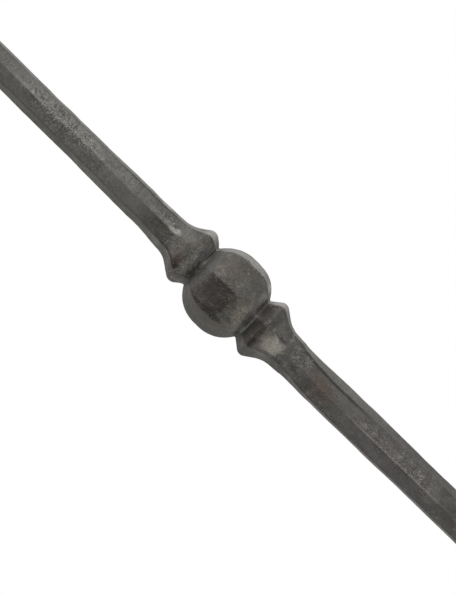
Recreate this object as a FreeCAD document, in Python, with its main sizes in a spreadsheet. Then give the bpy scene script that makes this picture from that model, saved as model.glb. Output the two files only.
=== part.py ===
import FreeCAD, Part
import math
import os
import Sketcher

# Forged iron stair baluster, one solid bar from end to end.
# It stands along +Z with the centre of its lower end at the origin. The section has eight faces:
# a square whose four sides are each raised to a low ridge. The ridges lie along X and Y and the
# corners on the diagonals. Halfway up, the bar swells into an eight-faced ball between two flared
# collars. It is hand-finished, so the two arms differ in thickness, the ball and collars stand a
# little to one side of the upper arm, and the lower arm is turned against the ball.
# All sizes are in millimetres and degrees.

SIZES = {
    "total_length": (1117.6, "end to end, 44 in stock length"),
    "ball_height": (558.8, "lower end to the middle of the ball"),
    "half_roof": (17.5, "angle from a ridge to the face beside it, 22.5 would be a true octagon"),
    "ball_flats": (38.35, "ball, across two opposite faces"),
    "neck_flats": (22.3, "groove between ball and collar, across two opposite faces"),
    "upper_neck_gap": (1.15, "width of the flat bottom of the upper groove"),
    "lower_neck_gap": (0.75, "width of the flat bottom of the lower groove"),
    "undercut_angle": (37.3, "underside of a collar, from the bar's axis"),
    "upper_rim_radius": (4.0, "rounding of the upper collar's rim"),
    "lower_rim_radius": (3.3, "rounding of the lower collar's rim"),
    "upper_rim_flats": (28.7, "upper collar at its rim"),
    "lower_rim_flats": (29.3, "lower collar at its rim"),
    "flare_angle": (34.0, "outside of a collar, from the bar's axis"),
    "flare_radius": (15.0, "hollow curve from a collar into its arm"),
    "root_taper": (3.8, "slope of the thick root of an arm"),
    "root_length": (5.3, "straight part of that root"),
    "upper_root_flats": (16.35, "upper arm where it leaves the collar"),
    "upper_waist_flats": (15.35, "upper arm at the dip above the root"),
    "upper_swell_flats": (16.15, "upper arm at the swelling above the dip"),
    "upper_bar_flats": (14.85, "upper arm, the rest of it"),
    "upper_waist_rise": (10.4, "root to the dip"),
    "upper_swell_rise": (5.9, "dip to the swelling"),
    "upper_bar_rise": (34.0, "swelling to the even bar"),
    "lower_root_flats": (17.25, "lower arm where it leaves the collar"),
    "lower_waist_flats": (16.35, "lower arm at the dip below the root"),
    "lower_turned_flats": (17.8, "lower arm where its turn ends"),
    "lower_swell_flats": (17.95, "lower arm at its thickest"),
    "lower_bar_flats": (17.3, "lower arm, the rest of it"),
    "lower_waist_drop": (10.4, "root to the dip"),
    "lower_turned_drop": (17.0, "dip to the end of the turn"),
    "lower_swell_drop": (22.5, "end of the turn to the thickest place"),
    "lower_bar_drop": (20.0, "thickest place to the even bar"),
    "lower_lean_drop": (98.0, "length of the even bar that still leans"),
    "lower_turn": (18.0, "turn of the lower arm against the ball, clockwise from above"),
    "waist_turn": (7.0, "share of that turn reached at the dip"),
    "worn_ridge": (0.15, "rise left to the lower arm's front ridge where it is worn flat, as a share"),
    "ball_shift": (1.55, "ball's middle from the upper arm's axis, towards -X"),
    "upper_collar_shift": (0.55, "upper collar's middle, likewise"),
    "lower_collar_shift": (1.7, "lower collar's middle, likewise"),
    "lower_turned_shift": (1.55, "lower arm where its turn ends, likewise"),
    "lower_swell_shift": (1.3, "lower arm at its thickest, likewise"),
    "lower_bar_shift": (1.0, "lower arm where the even bar starts, likewise"),
    "end_break": (0.8, "saw-cut ends, the edge filed off"),
}

# Working values in the same unit, each an expression of the sheet.
HALF_ROOF = "(Sizes.half_roof * 1 deg)"
NECK_HEIGHT = f"sqrt(Sizes.ball_flats ^ 2 - Sizes.neck_flats ^ 2) / 2 / cos{HALF_ROOF}"
CROWN_DROP = "((Sizes.ball_flats - Sizes.neck_flats) / 2)"
CROWN_RADIUS = f"((({NECK_HEIGHT}) ^ 2 + {CROWN_DROP} ^ 2) / 2 / {CROWN_DROP})"

X_AXIS, Y_AXIS, ORIGIN = -1, -2, (-1, 1)
START, END, MIDDLE = 1, 2, 3
UP = FreeCAD.Vector(0, 0, 1)
ACROSS = FreeCAD.Vector(1, 0, 0)

doc = FreeCAD.newDocument("baluster")
sheet = doc.addObject("Spreadsheet::Sheet", "Sizes")
for row, (alias, (value, meaning)) in enumerate(SIZES.items(), start=1):
    sheet.set(f"A{row}", alias)
    sheet.set(f"B{row}", str(value))
    sheet.set(f"C{row}", meaning)
    sheet.setAlias(f"B{row}", alias)
doc.recompute()


def size(alias):
    return float(getattr(sheet, alias))


def bind(sketch, kind, places, start_value, name, expression):
    """Adds a dimension to a sketch and ties it to an expression."""
    index = sketch.addConstraint(Sketcher.Constraint(kind, *places, start_value))
    sketch.renameConstraint(index, name)
    sketch.setExpression(f"Constraints.{name}", expression)


def point(x, y):
    return FreeCAD.Vector(x, y, 0)


def arc(centre, radius, start, end):
    """Arc from start to end, counter-clockwise about its centre."""
    first, last = (math.atan2(p.y - centre.y, p.x - centre.x) for p in (start, end))
    if last < first:
        last += math.tau
    return Part.ArcOfCircle(Part.Circle(centre, UP, radius), first, last)


def slope(start, end):
    """Direction of the line between two points, in radians."""
    return math.atan2(end.y - start.y, end.x - start.x)


def neck_height():
    """Height above the ball's middle at which the ball's faces come down to the neck."""
    half_height = math.sqrt(size("ball_flats") ** 2 - size("neck_flats") ** 2) / 2
    return half_height / math.cos(math.radians(size("half_roof")))


def ball_outline():
    """Side view of one pair of the ball's faces: two crowned arcs that meet on the axis."""
    drop = (size("ball_flats") - size("neck_flats")) / 2
    radius = (neck_height() ** 2 + drop**2) / 2 / drop
    off = radius - size("ball_flats") / 2
    pole = math.sqrt(radius**2 - off**2)

    sketch = doc.addObject("Sketcher::SketchObject", "BallOutline")
    right = sketch.addGeometry(arc(point(-off, 0), radius, point(0, -pole), point(0, pole)))
    left = sketch.addGeometry(arc(point(off, 0), radius, point(0, pole), point(0, -pole)))
    sketch.addConstraint(
        [
            Sketcher.Constraint("Coincident", right, END, left, START),
            Sketcher.Constraint("Coincident", left, END, right, START),
            Sketcher.Constraint("PointOnObject", right, START, Y_AXIS),
            Sketcher.Constraint("PointOnObject", right, END, Y_AXIS),
            Sketcher.Constraint("PointOnObject", right, MIDDLE, X_AXIS),
            Sketcher.Constraint("Equal", right, left),
        ]
    )
    bind(sketch, "Radius", (right,), radius, "crown", CROWN_RADIUS)
    half_width = f"{CROWN_RADIUS} - Sizes.ball_flats / 2"
    bind(sketch, "DistanceX", (right, MIDDLE, *ORIGIN), off, "centre", half_width)
    return sketch


def collar_points(side):
    """Corners, tangent points and centres of the right-hand half of a collar's side view,
    measured from the ball's middle."""
    under, out, taper = (
        math.radians(size(a)) for a in ("undercut_angle", "flare_angle", "root_taper")
    )
    rim, hollow = size(f"{side}_rim_radius"), size("flare_radius")
    under_normal = point(math.cos(under), -math.sin(under))
    out_normal = point(math.cos(out), math.sin(out))
    taper_normal = point(math.cos(taper), math.sin(taper))

    neck = size("neck_flats") / 2
    start = point(neck, neck_height() + size(f"{side}_neck_gap"))
    rim_x = size(f"{side}_rim_flats") / 2 - rim
    run = (rim_x + rim * under_normal.x - neck) / math.sin(under)
    rim_centre = point(rim_x, start.y + run * math.cos(under) - rim * under_normal.y)
    flare_start = rim_centre + out_normal * rim

    root_x = size(f"{side}_root_flats") / 2
    hollow_x = root_x + size("root_length") * math.sin(taper) + hollow * taper_normal.x
    reach = flare_start.dot(out_normal) + hollow - hollow_x * out_normal.x
    hollow_centre = point(hollow_x, reach / out_normal.y)
    taper_start = hollow_centre - taper_normal * hollow
    return {
        "foot": point(neck, neck_height() / 2),
        "start": start,
        "under_end": rim_centre + under_normal * rim,
        "rim_centre": rim_centre,
        "flare_start": flare_start,
        "flare_end": hollow_centre - out_normal * hollow,
        "hollow_centre": hollow_centre,
        "taper_start": taper_start,
        "root": point(root_x, taper_start.y + size("root_length") * math.cos(taper)),
    }


def collar_outline(side):
    """Side view of one pair of a collar's faces: neck, undercut, round rim, flare, hollow and root."""
    p = collar_points(side)
    rim_radius, hollow_radius = size(f"{side}_rim_radius"), size("flare_radius")
    sketch = doc.addObject("Sketcher::SketchObject", f"{side.title()}CollarOutline")

    def half(mirror):
        m = {name: point(mirror * v.x, v.y) for name, v in p.items()}
        # An arc's ends change places in the mirror
        rim_ends = (m["under_end"], m["flare_start"])[::mirror]
        hollow_ends = (m["taper_start"], m["flare_end"])[::mirror]
        return [
            sketch.addGeometry(shape)
            for shape in (
                Part.LineSegment(m["foot"], m["start"]),
                Part.LineSegment(m["start"], m["under_end"]),
                arc(m["rim_centre"], rim_radius, *rim_ends),
                Part.LineSegment(m["flare_start"], m["flare_end"]),
                arc(m["hollow_centre"], hollow_radius, *hollow_ends),
                Part.LineSegment(m["taper_start"], m["root"]),
            )
        ]

    neck, under, rim, flare, hollow, taper = half(1)
    left_neck, left_under, left_rim, left_flare, left_hollow, left_taper = half(-1)
    foot_line, root_line = (
        sketch.addGeometry(Part.LineSegment(p[name], point(-p[name].x, p[name].y)))
        for name in ("foot", "root")
    )
    sketch.addConstraint(
        [
            Sketcher.Constraint("Coincident", neck, END, under, START),
            Sketcher.Constraint("Vertical", neck),
            Sketcher.Constraint("Tangent", under, END, rim, START),
            Sketcher.Constraint("Tangent", rim, END, flare, START),
            Sketcher.Constraint("Tangent", flare, END, hollow, END),
            Sketcher.Constraint("Tangent", hollow, START, taper, START),
            Sketcher.Constraint("Coincident", left_neck, END, left_under, START),
            Sketcher.Constraint("Coincident", left_under, END, left_rim, END),
            Sketcher.Constraint("Coincident", left_rim, START, left_flare, START),
            Sketcher.Constraint("Coincident", left_flare, END, left_hollow, START),
            Sketcher.Constraint("Coincident", left_hollow, END, left_taper, START),
            Sketcher.Constraint("Symmetric", neck, START, left_neck, START, Y_AXIS),
            Sketcher.Constraint("Symmetric", neck, END, left_neck, END, Y_AXIS),
            Sketcher.Constraint("Symmetric", under, END, left_under, END, Y_AXIS),
            Sketcher.Constraint("Symmetric", flare, START, left_flare, START, Y_AXIS),
            Sketcher.Constraint("Symmetric", flare, END, left_flare, END, Y_AXIS),
            Sketcher.Constraint("Symmetric", taper, START, left_taper, START, Y_AXIS),
            Sketcher.Constraint("Symmetric", taper, END, left_taper, END, Y_AXIS),
            Sketcher.Constraint("Equal", rim, left_rim),
            Sketcher.Constraint("Equal", hollow, left_hollow),
            Sketcher.Constraint("Coincident", foot_line, START, neck, START),
            Sketcher.Constraint("Coincident", foot_line, END, left_neck, START),
            Sketcher.Constraint("Coincident", root_line, START, taper, END),
            Sketcher.Constraint("Coincident", root_line, END, left_taper, END),
        ]
    )
    under_slope = slope(p["start"], p["under_end"])
    flare_slope = slope(p["flare_start"], p["flare_end"])
    taper_slope = slope(p["taper_start"], p["root"])
    half_neck = "Sizes.neck_flats / 2"
    groove_end = f"{NECK_HEIGHT} + Sizes.{side}_neck_gap"
    half_rim = f"Sizes.{side}_rim_flats / 2 - Sizes.{side}_rim_radius"
    half_root = f"Sizes.{side}_root_flats / 2"
    dimensions = (
        ("DistanceX", (*ORIGIN, neck, START), p["foot"].x, "neck", half_neck),
        ("DistanceY", (*ORIGIN, neck, START), p["foot"].y, "foot", f"{NECK_HEIGHT} / 2"),
        ("DistanceY", (*ORIGIN, neck, END), p["start"].y, "groove_end", groove_end),
        ("Angle", (under,), under_slope, "under", "90 deg - Sizes.undercut_angle * 1 deg"),
        ("Radius", (rim,), rim_radius, "rim", f"Sizes.{side}_rim_radius"),
        ("DistanceX", (*ORIGIN, rim, MIDDLE), p["rim_centre"].x, "rim_centre", half_rim),
        ("Angle", (flare,), flare_slope, "flare", "90 deg + Sizes.flare_angle * 1 deg"),
        ("Radius", (hollow,), hollow_radius, "hollow", "Sizes.flare_radius"),
        ("Angle", (taper,), taper_slope, "taper", "90 deg + Sizes.root_taper * 1 deg"),
        ("Distance", (taper,), size("root_length"), "straight", "Sizes.root_length"),
        ("DistanceX", (*ORIGIN, taper, END), p["root"].x, "root", half_root),
    )
    for dimension in dimensions:
        bind(sketch, *dimension)
    # The collar's height follows from the rest, and the arm starts there
    reach = Sketcher.Constraint("DistanceY", *ORIGIN, taper, END, p["root"].y)
    index = sketch.addConstraint(reach)
    sketch.setDriving(index, False)
    sketch.renameConstraint(index, "reach")
    return sketch


def faced(name, outline, width):
    """Solid with eight faces: the outline is drawn out sideways four times, a face's angle apart,
    and what the four have in common is kept."""
    outline.Placement = FreeCAD.Placement(FreeCAD.Vector(), FreeCAD.Rotation(ACROSS, 90))
    slabs = []
    for number, turn in enumerate(("Sizes.half_roof", "90 - Sizes.half_roof",
                                   "90 + Sizes.half_roof", "180 - Sizes.half_roof"), start=1):
        slab = doc.addObject("Part::Extrusion", f"{name}Slab{number}")
        slab.Base = outline
        slab.DirMode = "Normal"
        slab.Solid = True
        slab.Symmetric = True
        slab.setExpression("LengthFwd", width)
        slab.Placement = FreeCAD.Placement(FreeCAD.Vector(), FreeCAD.Rotation(UP, 45))
        slab.setExpression("Placement.Rotation.Angle", f"({turn}) * 1 deg")
        slabs.append(slab)
    solid = doc.addObject("Part::MultiCommon", name)
    solid.Shapes = slabs
    return solid


def section(name, flats, height, shift="0", turn="0", inset="0", front="1"):
    """One cross-section of an arm: eight points, ridges on the axes and corners between them.
    The front ridge keeps a share of its rise over the corners beside it."""
    sketch = doc.addObject("Sketcher::SketchObject", name)
    roof = math.radians(size("half_roof"))
    ridge = size(flats) / 2 / math.cos(roof)
    corner = ridge / (1 + math.tan(roof))
    quarter = [(ridge, 0), (corner, corner), (0, ridge), (-corner, corner)]
    ring = [point(x, y) for x, y in quarter]
    ring += [-corner_point for corner_point in ring]
    sides = [
        sketch.addGeometry(Part.LineSegment(a, b)) for a, b in zip(ring, ring[1:] + ring[:1])
    ]
    for before, after in zip(sides, sides[1:] + sides[:1]):
        sketch.addConstraint(Sketcher.Constraint("Coincident", before, END, after, START))
    for near in (0, 1, 3):
        far = sides[near + 4]
        sketch.addConstraint(Sketcher.Constraint("Symmetric", sides[near], START, far, START, *ORIGIN))
    sketch.addConstraint(
        [
            Sketcher.Constraint("PointOnObject", sides[0], START, X_AXIS),
            Sketcher.Constraint("PointOnObject", sides[2], START, Y_AXIS),
            Sketcher.Constraint("PointOnObject", sides[6], START, Y_AXIS),
            Sketcher.Constraint("Symmetric", sides[1], START, sides[3], START, Y_AXIS),
        ]
    )
    to_ridge = f"(Sizes.{flats} / 2 - {inset}) / cos{HALF_ROOF}"
    to_corner = f"{to_ridge} / (1 + tan{HALF_ROOF})"
    bind(sketch, "DistanceX", (*ORIGIN, sides[0], START), ridge, "ridge_x", to_ridge)
    bind(sketch, "DistanceY", (*ORIGIN, sides[2], START), ridge, "ridge_y", to_ridge)
    to_front = f"{to_corner} + ({to_ridge} - {to_corner}) * {front}"
    bind(sketch, "DistanceY", (sides[6], START, *ORIGIN), ridge, "front_y", to_front)
    bind(sketch, "DistanceX", (*ORIGIN, sides[1], START), corner, "corner_x", to_corner)
    bind(sketch, "DistanceY", (*ORIGIN, sides[1], START), corner, "corner_y", to_corner)
    sketch.Placement = FreeCAD.Placement(FreeCAD.Vector(), FreeCAD.Rotation(UP, 0))
    sketch.setExpression("Placement.Rotation.Angle", f"-({turn}) * 1 deg")
    sketch.setExpression("Placement.Base.x", f"-({shift})")
    sketch.setExpression("Placement.Base.z", height)
    return sketch


def arm(name, sections):
    """Solid with straight facets from each section to the next, as a hammer leaves them."""
    solid = doc.addObject("Part::Loft", name)
    solid.Sections = sections
    solid.Solid = True
    solid.Ruled = True
    return solid


# Ball
ball = faced("Ball", ball_outline(), "2 * Sizes.ball_flats")
ball.setExpression("Placement.Base.x", "-Sizes.ball_shift")
ball.setExpression("Placement.Base.z", "Sizes.ball_height")

# Collars, the lower one being the same form upside down
upper_outline = collar_outline("upper")
upper_collar = faced("UpperCollar", upper_outline, "2 * Sizes.ball_flats")
upper_collar.setExpression("Placement.Base.x", "-Sizes.upper_collar_shift")
upper_collar.setExpression("Placement.Base.z", "Sizes.ball_height")
lower_outline = collar_outline("lower")
lower_collar = faced("LowerCollar", lower_outline, "2 * Sizes.ball_flats")
lower_collar.Placement = FreeCAD.Placement(FreeCAD.Vector(), FreeCAD.Rotation(ACROSS, 180))
lower_collar.setExpression("Placement.Base.x", "-Sizes.lower_collar_shift")
lower_collar.setExpression("Placement.Base.z", "Sizes.ball_height")

# Upper arm: root, dip, swelling, then an even bar to the top
root = "Sizes.ball_height + UpperCollarOutline.Constraints.reach / 1 mm"
waist = f"{root} + Sizes.upper_waist_rise"
swell = f"{waist} + Sizes.upper_swell_rise"
even = f"{swell} + Sizes.upper_bar_rise"
top = "Sizes.total_length"
upper_arm = arm(
    "UpperArm",
    [
        section("UpperRoot", "upper_root_flats", root, "Sizes.upper_collar_shift"),
        section("UpperWaist", "upper_waist_flats", waist),
        section("UpperSwell", "upper_swell_flats", swell),
        section("UpperEven", "upper_bar_flats", even),
        section("UpperShoulder", "upper_bar_flats", f"{top} - Sizes.end_break"),
        section("UpperEnd", "upper_bar_flats", top, inset="Sizes.end_break"),
    ],
)

# Lower arm: root, dip, the turn, the thickest place, a leaning bar and an even bar to the floor.
# Its front ridge is worn flat from the dip to the end of the turn.
root = "Sizes.ball_height - LowerCollarOutline.Constraints.reach / 1 mm"
waist = f"{root} - Sizes.lower_waist_drop"
turned = f"{waist} - Sizes.lower_turned_drop"
swell = f"{turned} - Sizes.lower_swell_drop"
even = f"{swell} - Sizes.lower_bar_drop"
upright = f"{even} - Sizes.lower_lean_drop"
collar_shift = "Sizes.lower_collar_shift"
turn = "Sizes.lower_turn"
worn = "Sizes.worn_ridge"
lower_arm = arm(
    "LowerArm",
    [
        section("LowerRoot", "lower_root_flats", root, collar_shift),
        section("LowerWaist", "lower_waist_flats", waist, collar_shift, "Sizes.waist_turn", front=worn),
        section("LowerTurned", "lower_turned_flats", turned, "Sizes.lower_turned_shift", turn, front=worn),
        section("LowerSwell", "lower_swell_flats", swell, "Sizes.lower_swell_shift", turn),
        section("LowerEven", "lower_bar_flats", even, "Sizes.lower_bar_shift", turn),
        section("LowerUpright", "lower_bar_flats", upright, turn=turn),
        section("LowerShoulder", "lower_bar_flats", "Sizes.end_break", turn=turn),
        section("LowerEnd", "lower_bar_flats", "0", turn=turn, inset="Sizes.end_break"),
    ],
)

baluster = doc.addObject("Part::MultiFuse", "Baluster")
baluster.Shapes = [lower_arm, lower_collar, ball, upper_collar, upper_arm]
baluster.Refine = True
baluster.Label = "forged_baluster"
doc.recompute()

failed = [o.Name for o in doc.Objects if {"Invalid", "Error"} & set(o.State)]
if failed:
    raise SystemExit(f"these objects failed: {failed}")
if baluster.Shape.isNull() or not baluster.Shape.isValid() or len(baluster.Shape.Solids) != 1:
    raise SystemExit("the baluster is not one valid solid")

os.makedirs("parts", exist_ok=True)
baluster.Shape.exportStep(f"parts/{baluster.Label}.step")
box = baluster.Shape.BoundBox
print(f"{baluster.Label}: {box.XLength:.1f} x {box.YLength:.1f} x {box.ZLength:.1f} mm,",
      f"{baluster.Shape.Volume / 1000:.1f} cm3, {len(baluster.Shape.Faces)} faces")
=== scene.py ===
import math
import bmesh
import bpy
import numpy as np
from mathutils import Matrix, Vector


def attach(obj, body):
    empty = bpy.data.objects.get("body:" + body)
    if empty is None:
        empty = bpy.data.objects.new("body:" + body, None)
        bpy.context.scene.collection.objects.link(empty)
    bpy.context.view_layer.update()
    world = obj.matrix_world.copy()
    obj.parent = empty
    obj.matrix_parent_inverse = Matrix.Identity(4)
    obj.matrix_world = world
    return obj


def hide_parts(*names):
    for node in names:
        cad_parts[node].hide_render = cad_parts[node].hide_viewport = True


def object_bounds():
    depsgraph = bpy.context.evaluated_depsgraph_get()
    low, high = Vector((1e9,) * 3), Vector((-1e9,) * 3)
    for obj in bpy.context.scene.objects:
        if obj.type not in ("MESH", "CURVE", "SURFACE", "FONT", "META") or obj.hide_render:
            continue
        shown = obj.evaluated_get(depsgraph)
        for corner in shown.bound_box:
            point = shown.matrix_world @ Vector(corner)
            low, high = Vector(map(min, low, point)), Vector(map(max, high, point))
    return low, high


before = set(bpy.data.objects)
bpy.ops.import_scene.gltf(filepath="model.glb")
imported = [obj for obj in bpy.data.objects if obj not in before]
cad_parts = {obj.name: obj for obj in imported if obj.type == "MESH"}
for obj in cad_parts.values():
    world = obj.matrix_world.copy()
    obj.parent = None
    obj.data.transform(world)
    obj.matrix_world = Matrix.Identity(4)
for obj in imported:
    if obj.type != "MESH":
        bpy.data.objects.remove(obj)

cadLow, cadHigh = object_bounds()
barNode = "forged_baluster"
mm = 0.001
print("frame loaded:", barNode)

# The bar's form in millimetres. Heights are from the ball's middle, widths are across flats.
barForm = {
    "sides": 8,
    "ballHeight": 558.8,
    "roof": math.radians(17.5),       # fall from a ridge to the face beside it
    "ballFlats": 38.45,
    "ballFullness": 0.4,              # how far the crown stands outside a plain arc
    "crownPower": 1.3,                # above 1, that fullness lies towards the neck
    "footFullness": 0.28,             # and how much more it does below, towards the groove
    "footPower": 2,
    "neckFlats": 22.3,
    "underAngle": math.radians(37.3),
    "flareAngle": math.radians(34.0),
    "rootTaper": math.radians(3.8),
    "hollowRadius": 15.0,
    "rootLength": 5.3,
    "endBreak": 0.8,
    "ridgeRound": 0.3,
    "ridgeSegments": 2,
    "facetCuts": 9,
    "facetStep": 45,                  # degrees from one facet to the next
    "smoothAngle": math.radians(50),
    "knuckleReach": 45.0,
    "knuckleStep": 0.8,
    "shownReach": 140.0,
    "shownStep": 1.0,
    "farStep": 1.6,
}
upperCollar = {"side": 1, "gap": 0.5, "rimRadius": 4.1, "rimFlats": 29.1, "rootFlats": 16.7}
lowerCollar = {"side": -1, "gap": 0.75, "rimRadius": 3.6, "rimFlats": 29.9, "rootFlats": 17.6}
# Heights and widths along the arms, as the photo shows them
upperArm = [
    (43.1, 16.5), (45.4, 16.2), (47.6, 15.9), (51.0, 15.7), (53.5, 15.75), (56.7, 16.1),
    (61.0, 15.9), (68.0, 15.8), (75.0, 15.5), (91.0, 15.2), (113.0, 15.0), (558.0, 14.9),
]
lowerArm = [
    (-558.0, 16.95), (-113.0, 16.95), (-104.0, 17.2), (-95.0, 17.5), (-86.0, 17.55),
    (-68.0, 17.4), (-63.5, 17.25), (-54.4, 16.95), (-50.0, 16.75), (-45.4, 16.85), (-43.1, 17.05),
]
# How far the bar stands to the side at each height, and how far it is turned in degrees
leanPlaces = [
    (-204.0, 0.0), (-136.0, -0.8), (-106.0, -1.05), (-86.0, -1.36), (-64.0, -1.6), (-54.0, -1.8),
    (-29.0, -1.75), (-24.5, -1.62), (-22.0, -1.45), (-15.5, -1.45), (-11.5, -1.25), (-8.0, -1.3),
    (-3.0, -1.5), (13.6, -1.5), (15.9, -1.15), (18.1, -0.45), (23.6, -0.55), (27.2, -0.62),
    (32.6, -0.25), (40.8, -0.17), (44.0, -0.02), (50.0, 0.12), (60.0, 0.1), (75.0, 0.0),
]
turnPlaces = [
    (-63.6, -18.0), (-54.0, -13.0), (-46.5, -6.0), (-40.5, 0.0),
    (16.4, 0.0), (17.4, -4.2), (25.5, -4.2), (31.5, 0.0),
]


def arcPoints(centre, radius, fromAngle, toAngle, step):
    count = max(2, round(abs(toAngle - fromAngle) * radius / step))
    angles = np.linspace(fromAngle, toAngle, count + 1)
    return [centre + Vector((math.cos(a), math.sin(a))) * radius for a in angles]


def ballPoints(step):
    # The crown of a face, from the ball's middle to the neck
    f = barForm
    half, neck = f["ballFlats"] / 2, f["neckFlats"] / 2
    neckHeight = math.sqrt(half**2 - neck**2) / math.cos(f["roof"])
    drop = half - neck
    radius = (neckHeight**2 + drop**2) / 2 / drop
    centre = Vector((half - radius, 0))
    points = arcPoints(centre, radius, 0, math.asin(neckHeight / radius), step)
    for point in points:
        share = (point.y / neckHeight) ** f["crownPower"]
        point.x += f["ballFullness"] * math.sin(math.pi * share)
    return points


def collarPoints(collar, neckHeight, step):
    # Groove, underside, round rim, flare, hollow and root, from the neck outwards
    f = barForm
    under, out, taper = f["underAngle"], f["flareAngle"], f["rootTaper"]
    rim, hollow = collar["rimRadius"], f["hollowRadius"]
    neck = Vector((f["neckFlats"] / 2, neckHeight + collar["gap"]))
    rimX = collar["rimFlats"] / 2 - rim
    underNormal = Vector((math.cos(under), -math.sin(under)))
    outNormal = Vector((math.cos(out), math.sin(out)))
    run = (rimX + rim * underNormal.x - neck.x) / math.sin(under)
    rimCentre = Vector((rimX, neck.y + run * math.cos(under) - rim * underNormal.y))
    flareStart = rimCentre + outNormal * rim
    rootX = collar["rootFlats"] / 2
    hollowX = rootX + f["rootLength"] * math.sin(taper) + hollow * math.cos(taper)
    reach = flareStart.dot(outNormal) + hollow - hollowX * outNormal.x
    hollowCentre = Vector((hollowX, reach / outNormal.y))
    taperStart = hollowCentre - Vector((math.cos(taper), math.sin(taper))) * hollow
    root = Vector((rootX, taperStart.y + f["rootLength"] * math.cos(taper)))
    return (
        [neck]
        + arcPoints(rimCentre, rim, -under, out, step)
        + arcPoints(hollowCentre, hollow, math.pi + out, math.pi + taper, step)
        + [root]
    )


def valueAt(places, height):
    return np.interp(height, *np.array(places).T)


def fillWide(rings):
    # More rings where two in the knuckle stand further apart than its step
    f = barForm
    full = [rings[0]]
    for ring in rings[1:]:
        before = full[-1]
        gap = math.hypot(ring[0] - before[0], (ring[1] - before[1]) / 2)
        inKnuckle = abs(ring[0]) < f["knuckleReach"]
        pieces = max(1, round(gap / f["knuckleStep"])) if inKnuckle else 1
        for number in range(1, pieces + 1):
            share = number / pieces
            full.append(tuple(a + (b - a) * share for a, b in zip(before, ring)))
    return full


def ringList():
    # Every ring from the lower end to the upper: height, width, shift and turn
    f = barForm
    step = f["knuckleStep"]
    ball = ballPoints(step)
    neckHeight = ball[-1].y
    sides = {}
    for collar, arm in ((lowerCollar, lowerArm), (upperCollar, upperArm)):
        side = collar["side"]
        outline = collarPoints(collar, neckHeight, step)
        root = outline[-1]
        places = sorted([(side * root.y, 2 * root.x)] + arm)
        end = f["ballHeight"] if side < 0 else cadHigh.z / mm - f["ballHeight"]
        heights = [root.y]
        while heights[-1] < end - f["endBreak"]:
            reach = f["shownStep"] if heights[-1] < f["shownReach"] else f["farStep"]
            heights.append(min(heights[-1] + reach, end - f["endBreak"]))
        knuckle = [(side * p.y, 2 * p.x) for p in outline]
        shank = [(side * h, valueAt(places, side * h)) for h in heights[1:]]
        sides[side] = knuckle + shank + [(side * end, shank[-1][1] - 2 * f["endBreak"])]
    crown = [(p.y, 2 * p.x) for p in ball]
    foot = []
    for h, width in crown[1:]:
        fuller = f["footFullness"] * math.sin(math.pi * (h / neckHeight) ** f["footPower"])
        foot.append((-h, width + 2 * fuller))
    full = fillWide(sides[-1][::-1] + foot[::-1] + crown + sides[1])
    return [(h, width, valueAt(leanPlaces, h), valueAt(turnPlaces, h)) for h, width in full]


hair = 1e-6     # less than this is no difference


def select(mesh, kind, chosen):
    bpy.ops.mesh.select_all(action="DESELECT")
    bpy.ops.mesh.select_mode(type=kind)
    bm = bmesh.from_edit_mesh(mesh)
    for item in {"VERT": bm.verts, "EDGE": bm.edges, "FACE": bm.faces}[kind]:
        if chosen(item):
            item.select_set(True)
    bmesh.update_edit_mesh(mesh)


def drawBar(rings):
    # An octagon at the lower end, drawn up ring by ring
    f = barForm
    height, flats, shift, turn = rings[0]
    ridge = flats / 2 / math.cos(f["roof"]) * mm
    bpy.ops.object.select_all(action="DESELECT")
    pivot = (shift * mm, 0, 0)
    bpy.ops.mesh.primitive_circle_add(
        vertices=f["sides"], radius=ridge, fill_type="NGON", location=pivot
    )
    bar = bpy.context.object
    bar.name = "forgedBar"
    bpy.ops.object.transform_apply(location=True, rotation=True, scale=True)
    bpy.ops.object.mode_set(mode="EDIT")
    # The corners on the diagonals stand out a little further than the ridges on the axes
    cornerOut = math.sqrt(2) / (1 + math.tan(f["roof"]))
    select(bar.data, "VERT", lambda v: min(abs(v.co.x - pivot[0]), abs(v.co.y)) > ridge / 2)
    bpy.ops.transform.resize(value=(cornerOut, cornerOut, 1), center_override=pivot)
    bpy.ops.mesh.select_mode(type="FACE")
    bpy.ops.mesh.select_all(action="SELECT")
    bpy.ops.transform.rotate(value=-math.radians(turn), orient_axis="Z", center_override=pivot)
    for ring in rings[1:]:
        slide, rise = (ring[2] - shift) * mm, (ring[0] - height) * mm
        bpy.ops.mesh.extrude_region_move(TRANSFORM_OT_translate={"value": (slide, 0, rise)})
        pivot = (ring[2] * mm, 0, (f["ballHeight"] + ring[0]) * mm)
        grow = ring[1] / flats
        if abs(grow - 1) > hair:
            bpy.ops.transform.resize(value=(grow, grow, 1), center_override=pivot)
        if abs(ring[3] - turn) > hair:
            swing = math.radians(ring[3] - turn)
            bpy.ops.transform.rotate(value=-swing, orient_axis="Z", center_override=pivot)
        height, flats, shift, turn = ring
    bpy.ops.mesh.select_all(action="SELECT")
    bpy.ops.mesh.normals_make_consistent(inside=False)
    return bar


def isLevel(edge):
    low, high = edge.verts
    return abs(low.co.z - high.co.z) < hair


def divideFacets(bar):
    # The ridges are rounded, and each facet gets columns for the hammer marks
    f = barForm
    select(bar.data, "EDGE", lambda e: not isLevel(e))
    bpy.ops.mesh.bevel(offset=f["ridgeRound"] * mm, segments=f["ridgeSegments"], affect="EDGES")
    wide = 3 * f["ridgeRound"] * mm     # longer than the short edges that the bevel leaves
    select(bar.data, "EDGE", lambda e: isLevel(e) and e.calc_length() > wide)
    bpy.ops.mesh.subdivide(number_cuts=f["facetCuts"])
    bpy.ops.object.mode_set(mode="OBJECT")
    print("bar drawn:", len(bar.data.polygons), "faces")


def readPoints(bar):
    flat = np.empty(len(bar.data.vertices) * 3)
    bar.data.vertices.foreach_get("co", flat)
    return flat.reshape(-1, 3) / mm


def writePoints(bar, points):
    bar.data.vertices.foreach_set("co", (points * mm).ravel())
    bar.data.update()


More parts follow.
